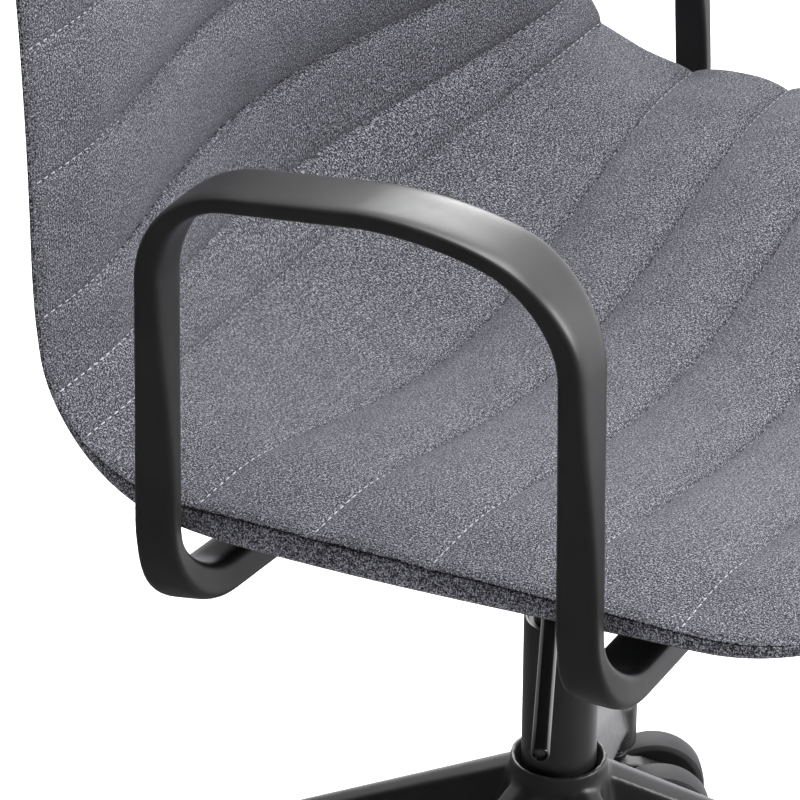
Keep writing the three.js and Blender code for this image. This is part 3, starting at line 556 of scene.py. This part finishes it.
def outline_normals(loop, s, x):
    """Unit vectors in the (s, x) plane that point out of the outline."""
    points = np.array([(s[i], x[i]) for i in loop])
    ahead, behind = np.roll(points, -1, 0), np.roll(points, 1, 0)
    along = ahead - behind
    along /= np.linalg.norm(along, axis=1)[:, None]
    return np.stack([-along[:, 1], along[:, 0]], 1) * outward_sign(points)


def outward_sign(points):
    """Which way round the outline runs, as the sign that makes its normals point out."""
    a, b = points, np.roll(points, -1, 0)
    area = float(np.sum(a[:, 0] * b[:, 1] - b[:, 0] * a[:, 1]))
    return -1.0 if area > 0 else 1.0


def slab(name, top, bottom, band, inset=0.0):
    """A closed slab over the seat: two faces and a rim whose rows are (outwards, share of the height)."""
    s, x = seat_grid(inset)
    rows, columns = s.shape
    loop = rim_loop()
    out = outline_normals(loop, s, x)
    loop_s = np.array([s[i] for i in loop])
    loop_x = np.array([x[i] for i in loop])
    top_h, bottom_h = top(s, x), bottom(s, x)
    loop_top = np.array([top_h[i] for i in loop])
    loop_bottom = np.array([bottom_h[i] for i in loop])
    verts = [seat_point(s, x, top_h).reshape(-1, 3)]
    for outwards, share in band:
        height = lerp(loop_top, loop_bottom, share)
        verts.append(seat_point(loop_s + out[:, 0] * outwards, loop_x + out[:, 1] * outwards, height))
    verts.append(seat_point(s, x, bottom_h).reshape(-1, 3))
    size, around = rows * columns, len(loop)
    last = size + around * len(band)
    faces = grid_faces(rows, columns)
    faces += [face[::-1] for face in grid_faces(rows, columns, last)]
    top_ring = [i * columns + j for i, j in loop]
    rings = [top_ring]
    rings += [list(range(size + k * around, size + (k + 1) * around)) for k in range(len(band))]
    rings.append([last + v for v in top_ring])
    for upper, lower in zip(rings, rings[1:]):
        for k in range(around):
            n = (k + 1) % around
            faces.append((upper[k], lower[k], lower[n], upper[n]))
    piece = make_mesh(name, np.concatenate(verts), faces)
    tidy(piece)
    depth = loop_top - loop_bottom
    return piece, (s, x, loop_s, loop_x, [depth * share for _, share in band])


BAND_WEAVE_FROM = 900.0


def lay_weave(piece, facts):
    """UVs in metres: yarns run along and across the seat, and the side band has a range of its own."""
    s, x, loop_s, loop_x, drops = facts
    steps = np.hypot(np.diff(loop_s, append=loop_s[0]), np.diff(loop_x, append=loop_x[0]))
    around = np.concatenate([[0], np.cumsum(steps)[:-1]])
    flat = np.stack([x, s], -1).reshape(-1, 2)
    rows = [np.stack([around, BAND_WEAVE_FROM + drop], -1) for drop in drops]
    table = np.concatenate([flat, *rows, flat]) * MM
    layer = piece.data.uv_layers.new(name="weave")
    corners = np.zeros(len(piece.data.loops), np.int64)
    piece.data.loops.foreach_get("vertex_index", corners)
    layer.data.foreach_set("uv", table[corners].astype(np.float32).ravel())


# The rim, as (outwards, share of the height): a rolled edge, the stitched-in groove, then the side band.
BAND = [
    (0.5, 0.01), (0.95, 0.035), (0.95, 0.065), (0.3, 0.085), (-0.6, 0.10), (0.3, 0.115), (0.95, 0.14),
    (1.3, 0.3), (1.5, 0.5), (1.4, 0.72), (1.1, 0.9), (0.7, 1.0), (-0.4, 1.03),
]

cushion, facts = slab("seat_cushion_cloth", pad_top, pad_bottom, BAND)
lay_weave(cushion, facts)
cushion.data.materials.append(CLOTH)
cushion.data.materials.append(BAND_CLOTH_PAINTED_LIGHTER)
weave = cushion.data.uv_layers["weave"].data
# Faces of the side band take the band's copy of the cloth, the one painted lighter as painted light.
for polygon in cushion.data.polygons:
    lowest = min(weave[i].uv.y for i in polygon.loop_indices)
    polygon.material_index = int(lowest * 1000 > BAND_WEAVE_FROM - 1)
dress(cushion, "seat", "cloth_grey", CLOTH, "seat_cushion")


def seam_threads():
    """Running stitches along every seam: a short rounded dash of thread, then a gap."""
    pitch, length, radius, sides = 5.4, 3.1, 0.30, 6
    verts, faces = [], []
    ring = [2 * math.pi * i / sides for i in range(sides)]
    shape = [(-0.5, 0.35), (-0.38, 0.95), (0.0, 1.0), (0.38, 0.95), (0.5, 0.35)]
    for seam in SEAMS:
        wide = float(half_width(seam)) - 1.5
        count = int(2 * wide / pitch)
        for k in range(count):
            middle = -wide + (k + 0.5) * 2 * wide / count
            first = len(verts)
            for share, size in shape:
                x = middle + share * length
                sunk = 0.30 * (2 * share) ** 2
                shown = 1 - float(smoothstep(rim_distance(seam, x), 30, 110))
                lift = float(pad_top(seam, x)) + lerp(-0.28, 0.26, shown) - sunk
                for a in ring:
                    ds, dh = radius * size * math.cos(a), radius * size * math.sin(a)
                    verts.append((seam + ds, x, lift + dh))
            last = first + (len(shape) - 1) * sides
            faces += grid_faces(len(shape), sides, first, closed=True)
            faces.append(tuple(range(first, first + sides)))
            faces.append(tuple(range(last, last + sides))[::-1])
    table = np.array(verts)
    return tidy(make_mesh("seam_stitches", seat_point(table[:, 0], table[:, 1], table[:, 2]), faces))


dress(seam_threads(), "seat", "cloth_grey", THREAD)


def shell_top(s, x):
    return pad_bottom(s, x) - GAP


SHELL_RIM = [(0.35, 0.2), (0.5, 0.5), (0.35, 0.8)]
SHELL_INSET = 4.0
shell, _ = slab("seat_shell_moulded", shell_top, shell_bottom, SHELL_RIM, SHELL_INSET)
dress(shell, "seat", "shell_grey", SHELL, "seat_shell")

# ---------------------------------------------------------------- arms

ARM_X, ARM_FRONT_Y, ARM_REAR_Y, ARM_RUN_Z = 272.0, -135.0, 56.5, 483.0
FRONT_SPLAY, REAR_SPLAY = 12.0, 15.0
FOOT_X, FOOT_Z = 128.0, 475.0
FRONT_TURN, REAR_TURN = math.tan(math.radians(-2.2)), math.tan(math.radians(6.1))
LEG_HALF, TOP_HALF, LOW_HALF = (12.4, 5.8), (16.4, 4.3), (4.0, 9.6)
RUN_HALF, FOOT_HALF = (8.2, 12.0), (4.0, 13.0)
BEND_PULL = 0.5523


def rounded_path(corners, tangent_lengths, bend_steps, straight_steps):
    """Straight stretches joined by smooth bends, as (place, direction) pairs."""
    stations = []

    def add(at, along):
        if not stations or (stations[-1][0] - at).length > 0.3:
            stations.append((at, along.normalized()))

    start = corners[0]
    for i in range(1, len(corners) - 1):
        before = (corners[i - 1] - corners[i]).normalized()
        after = (corners[i + 1] - corners[i]).normalized()
        length = tangent_lengths[i - 1]
        a, d = corners[i] + before * length, corners[i] + after * length
        b, c = a - before * length * BEND_PULL, d - after * length * BEND_PULL
        for k in range(straight_steps + 1):
            add(start.lerp(a, k / straight_steps), a - start)
        for k in range(1, bend_steps + 1):
            t = k / bend_steps
            u = 1 - t
            at = a * u ** 3 + b * (3 * u * u * t) + c * (3 * u * t * t) + d * t ** 3
            add(at, (b - a) * u * u + (c - b) * (2 * u * t) + (d - c) * t * t)
        start = d
    for k in range(straight_steps + 1):
        add(start.lerp(corners[-1], k / straight_steps), corners[-1] - start)
    return stations


def footness(at):
    return 1 - float(smoothstep(abs(at.x), FOOT_X + 16, FOOT_X + 52))


def arm_section(at, along):
    run = 1 - float(smoothstep(at.z, ARM_RUN_Z + 4, ARM_RUN_Z + 34))
    low = 1 - float(smoothstep(at.z, ARM_RUN_Z + 45, ARM_RUN_Z + 165))
    top = float(smoothstep(abs(along.y), 0.25, 0.95)) * (1 - run)
    size = np.array(LEG_HALF)
    for other, share in ((TOP_HALF, top), (LOW_HALF, low), (RUN_HALF, run), (FOOT_HALF, footness(at))):
        size = lerp(size, np.array(other), share)
    return size


def arm(name, side, node):
    front_y = ARM_FRONT_Y + FRONT_TURN * (ARM_X - FOOT_X)
    rear_y = ARM_REAR_Y - REAR_TURN * (ARM_X - FOOT_X)
    corners = [
        (FOOT_X - 14, front_y, FOOT_Z), (FOOT_X + 20, front_y, FOOT_Z),
        (FOOT_X + 48, front_y - FRONT_TURN * 48, ARM_RUN_Z), (ARM_X + FRONT_SPLAY, ARM_FRONT_Y, ARM_RUN_Z),
        (ARM_X, ARM_FRONT_Y + 8.4, 664.6), (ARM_X - 1, -64, 685), (ARM_X - 1, ARM_REAR_Y + 3.6, 672.5),
        (ARM_X + REAR_SPLAY, ARM_REAR_Y, ARM_RUN_Z), (FOOT_X + 48, rear_y + REAR_TURN * 48, ARM_RUN_Z),
        (FOOT_X + 20, rear_y + REAR_TURN * 20, FOOT_Z), (FOOT_X - 14, rear_y - REAR_TURN * 14, FOOT_Z),
    ]
    corners = [Vector((side * x, y, z)) for x, y, z in corners]
    route = rounded_path(corners, [10, 12, 41, 34, 30, 39, 41, 12, 10], 18, 6)
    middle = min(range(len(route)), key=lambda i: abs(route[i][0].y + 36) + (route[i][0].z < 600) * 1e3)
    wides = {middle: Vector((1, 0, 0))}
    for i in range(middle + 1, len(route)):
        wides[i] = route[i - 1][1].rotation_difference(route[i][1]) @ wides[i - 1]
    for i in range(middle - 1, -1, -1):
        wides[i] = route[i + 1][1].rotation_difference(route[i][1]) @ wides[i + 1]
    stations = []
    for i, (at, along) in enumerate(route):
        wide_half, thin_half = arm_section(at, along)
        level = Vector((0, 0, math.copysign(1, wides[i].z)))
        wide = wides[i].lerp(level, footness(at)).normalized()
        thin = along.cross(wide).normalized()
        place = (at + Vector((0, AXIS_Y / MM, 0))) * MM
        stations.append((place, wide * float(wide_half) * MM, thin * float(thin_half) * MM))
    return dress(swept(name, stations, 56, 5.0), "seat", "base_black", BLACK, node)


arm("arm_loop_right", -1, "arm_right")
arm("arm_loop_left", 1, "arm_left")

# ---------------------------------------------------------------- back handle

HANDLE_Z, HANDLE_END_X, HANDLE_SCREW_X = 744.0, 250.0, 222.0
HANDLE_HALF_HEIGHT, HANDLE_HALF_THICKNESS, HANDLE_STANDOFF, HANDLE_SEAT = 20.0, 4.0, 30.0, 2.0


def rear_y(x):
    """Rear face of the shell at the handle's height, in millimetres from the column's axis."""
    s = BACK_FROM + (HANDLE_Z - BEND_TOP_Z) / math.cos(BACK_LEAN)
    inside = -PAD_THICK - GAP - SHELL_THICK
    return float(seat_point(s, x, inside)[1]) / MM - AXIS_Y / MM


def back_handle():
    stations = []
    for x in np.linspace(-HANDLE_END_X, HANDLE_END_X, 97):
        away = 1 - float(smoothstep(abs(x), 90, HANDLE_SCREW_X - 12))
        end = float(smoothstep(abs(x), HANDLE_SCREW_X, HANDLE_END_X))
        reach = HANDLE_SEAT + HANDLE_STANDOFF * away + HANDLE_HALF_THICKNESS
        y = rear_y(min(abs(x), HANDLE_SCREW_X)) + reach + AXIS_Y / MM
        stations.append((
            Vector((x, y, HANDLE_Z)) * MM,
            Vector((0, 0, HANDLE_HALF_HEIGHT - 6 * end)) * MM,
            Vector((0, HANDLE_HALF_THICKNESS - 1.5 * end, 0)) * MM,
        ))
    return swept("back_handle_bar", stations, 48, 4.5)


dress(back_handle(), "seat", "plastic_black", NYLON, "back_handle")

# ---------------------------------------------------------------- lever

lever_joint = JOINTS["height_lever"]
LEVER_PIVOT = Vector(lever_joint["pos_m"])
LEVER_OUT = (LEVER_PIVOT - AXIS) * Vector((1, 1, 0))
LEVER_OUT.normalize()
LEVER_ACROSS = Vector((-LEVER_OUT.y, LEVER_OUT.x, 0))
LEVER_R, LEVER_BEND, LEVER_END, LEVER_END_Z = 4.0, 66.0, 238.0, 416.0


def lever_point(distance, z):
    return Vector((LEVER_OUT.x * distance, LEVER_OUT.y * distance, z))


def height_lever():
    level = LEVER_PIVOT.z / MM
    corners = [lever_point(-6, level), lever_point(LEVER_BEND, level), lever_point(LEVER_END, LEVER_END_Z)]
    route = rounded_path(corners, [30], 16, 10)
    stations = []

    def add(at, along, radius):
        place = (at + Vector((0, AXIS_Y / MM, 0))) * MM
        upright = along.cross(LEVER_ACROSS).normalized()
        stations.append((place, LEVER_ACROSS * radius * MM, upright * radius * MM))

    for at, along in route[:-1]:
        add(at, along, LEVER_R)
    end, along = route[-1]
    for back, radius in ((0.9, 4.0), (0.3, 3.8), (0.0, 3.45), (0.0, 3.2), (0.4, 2.95), (2.4, 2.85)):
        add(end - along * back, along, radius)
    return swept("lever_rod", stations, 32, 2.0)


dress(height_lever(), "lever", "lever_black", LACQUER, "height_lever")

# ---------------------------------------------------------------- column and base


def on_axis():
    return Matrix.Translation((AXIS.x, AXIS.y, 0))


tube = turned("column_tube_turned", [
    (5.6, 118), (17.6, 118), (18.5, 118.3), (19, 119.2), (19, 340.6), (18.7, 341.5), (18.1, 342),
    (17.2, 342), (17, 341.8), (17, 122), (5.6, 122), (5.6, 118),
], 96, on_axis())
dress(tube, "base", "column_black", COLUMN, "column_tube")
cylinder = turned("gas_cylinder_turned", [
    (5.3, 236), (12.8, 236), (13.7, 236.3), (14, 237.2), (14, 442), (13.2, 443), (3.8, 443), (3.8, 429),
    (12, 429), (12, 244), (5.3, 244), (5.3, 236),
], 80, on_axis())
dress(cylinder, "seat", "column_black", COLUMN, "pressure_cylinder")

star = softened("base_star_cast", "base_star", 0.0016, 6)
dress(star, "base", "base_black", BLACK, "base_star")

# ---------------------------------------------------------------- casters


WHEEL_R, WHEEL_HALF_WIDTH, WHEEL_OFFSET, HUB_R = 32.5, 9.5, 18, 27.2


def caster_wheel(name, joint, outside):
    """Hub disc with a dished face and cap, in a softer rounded tread."""
    half, r = WHEEL_HALF_WIDTH, WHEEL_R
    points = [
        (3.2, -half), (r - 4.2, -half), (r - 2.6, -half + 0.3), (r - 1.0, -half + 1.3),
        (r - 0.15, -half + 3.4), (r, 0), (r - 0.15, half - 3.4), (r - 1.0, half - 1.3),
        (r - 2.6, half - 0.3), (r - 4.2, half), (r - 5.0, half), (r - 5.3, half - 0.8),
        (r - 6.0, half - 0.9), (r - 7.0, half - 0.4), (r - 8.5, half - 0.5), (r - 10.0, half - 1.9),
        (15, half - 2.2), (11.5, half - 1.9), (11.0, half - 0.6), (10.2, half - 0.1),
        (6, half + 0.2), (0, half + 0.3), (0, half - 6), (3.2, half - 6), (3.2, -half),
    ]
    axis = Vector(joint["axis"]).normalized()
    axis *= outside
    turn = Vector((0, 0, 1)).rotation_difference(axis).to_matrix().to_4x4()
    centre = Vector(joint["pos_m"]) + axis * (WHEEL_OFFSET * MM)
    piece = turned(name, points, 72, Matrix.Translation(centre) @ turn)
    piece.data.materials.append(NYLON)
    piece.data.materials.append(TREAD)
    for polygon in piece.data.polygons:
        offset = polygon.center - centre
        across = offset - axis * offset.dot(axis)
        polygon.material_index = int(across.length > HUB_R * MM)
    return piece


def outside_of(node, joint):
    """Which way along its axle a wheel's outer face looks."""
    low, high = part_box(node)
    axis = Vector(joint["axis"]).normalized()
    return math.copysign(1, ((low + high) / 2 - Vector(joint["pos_m"])).dot(axis))


for number in range(1, 6):
    for letter in "ab":
        node = f"caster_{number}_wheel_{letter}"
        joint = JOINTS[f"{node}_spin"]
        wheel = caster_wheel(f"{node}_turned", joint, outside_of(node, joint))
        dress(wheel, node, "wheel_grey", TREAD, node)
    hood = softened(f"caster_{number}_hood", f"caster_housing_{number}", 0.0011, 4)
    dress(hood, f"caster_{number}", "plastic_black", NYLON, f"caster_housing_{number}")

# ---------------------------------------------------------------- CAD nodes that stay as they are

SLOT_OF = {
    "guide_bushing": "plastic_black", "taper_socket": "base_black", "mechanism_housing": "base_black",
    "mounting_plate": "base_black", "lever_cap": "plastic_black",
}
for node_name, node_object in NODES.items():
    if node_object.hide_render:
        continue
    slot_name = SLOT_OF.get(node_name, "steel")
    node_object.data.materials.clear()
    node_object.data.materials.append(BY_SLOT[slot_name])
    node_object.data.shade_smooth()

# ---------------------------------------------------------------- floor, light and camera


FLOOR_HALF = 9


def floor():
    r = FLOOR_HALF
    corners = [(-r, -r, 0), (r, -r, 0), (r, r, 0), (-r, r, 0)]
    piece = make_mesh("floor", corners, [(0, 1, 2, 3)], smooth=False)
    shader = Shader("pale_floor")
    solid = shader.add("ShaderNodeTexCoord").outputs["Object"]
    tone = shader.ramp(shader.noise(solid, 6.0, 3.0), [(0.3, grey(0.93)), (0.7, grey(0.96))])
    shader.set(Base_Color=tone, Roughness=0.9, Specular_IOR_Level=0.1)
    piece.data.materials.append(shader.material)
    piece.visible_glossy = False


def area_light(name, place, target, size, power):
    light = bpy.data.lights.new(name, "AREA")
    light.shape = "RECTANGLE"
    light.size, light.size_y = size
    light.energy = power
    lamp = bpy.data.objects.new(name, light)
    lamp.location = place
    lamp.rotation_euler = (Vector(target) - Vector(place)).to_track_quat("-Z", "Y").to_euler()
    bpy.context.scene.collection.objects.link(lamp)


def studio():
    """Surroundings of a photo studio: a bright backdrop on the chair's left side, dark on its right."""
    world = bpy.data.worlds.new("studio")
    world.use_nodes = True
    bpy.context.scene.world = world
    tree = world.node_tree
    place = tree.nodes.new("ShaderNodeTexCoord")
    towards = tree.nodes.new("ShaderNodeVectorMath")
    towards.operation = "DOT_PRODUCT"
    towards.inputs[1].default_value = (0.86, -0.12, 0.42)
    ramp = tree.nodes.new("ShaderNodeValToRGB")
    rise = tree.nodes.new("ShaderNodeMapRange")
    rise.inputs["From Min"].default_value = -0.5
    rise.inputs["From Max"].default_value = 0.9
    ramp.color_ramp.elements[0].position = 0.0
    ramp.color_ramp.elements[0].color = (0.06, 0.06, 0.06, 1)
    middle = ramp.color_ramp.elements.new(0.5)
    middle.color = (0.32, 0.32, 0.32, 1)
    last = ramp.color_ramp.elements[2]
    last.position = 0.92
    last.color = (1.75, 1.75, 1.82, 1)
    tree.links.new(place.outputs["Generated"], towards.inputs[0])
    tree.links.new(towards.outputs["Value"], rise.inputs["Value"])
    tree.links.new(rise.outputs[0], ramp.inputs["Fac"])
    tree.links.new(ramp.outputs["Color"], tree.nodes["Background"].inputs["Color"])


floor()
studio()
seat_middle = (0, -0.05, 0.55)
area_light("overhead", (0.3, -0.5, 3.0), seat_middle, (1.8, 1.8), 105)
area_light("front", (0.9, -3.0, 1.9), seat_middle, (1.6, 1.3), 95)
area_light("behind", (2.3, 1.3, 1.9), (-0.2, 0, 0.6), (1.8, 1.2), 70)

camera_data = bpy.data.cameras.new("camera")
camera_data.lens = 160.05
camera_data.sensor_width = 36
camera = bpy.data.objects.new("camera", camera_data)
camera.location = (-1.3761, -0.6170, 1.2530)
camera.rotation_euler = (math.radians(62.27), 0, math.radians(-62.93))
bpy.context.scene.collection.objects.link(camera)
bpy.context.scene.camera = camera
bpy.context.scene.view_settings.view_transform = "Standard"
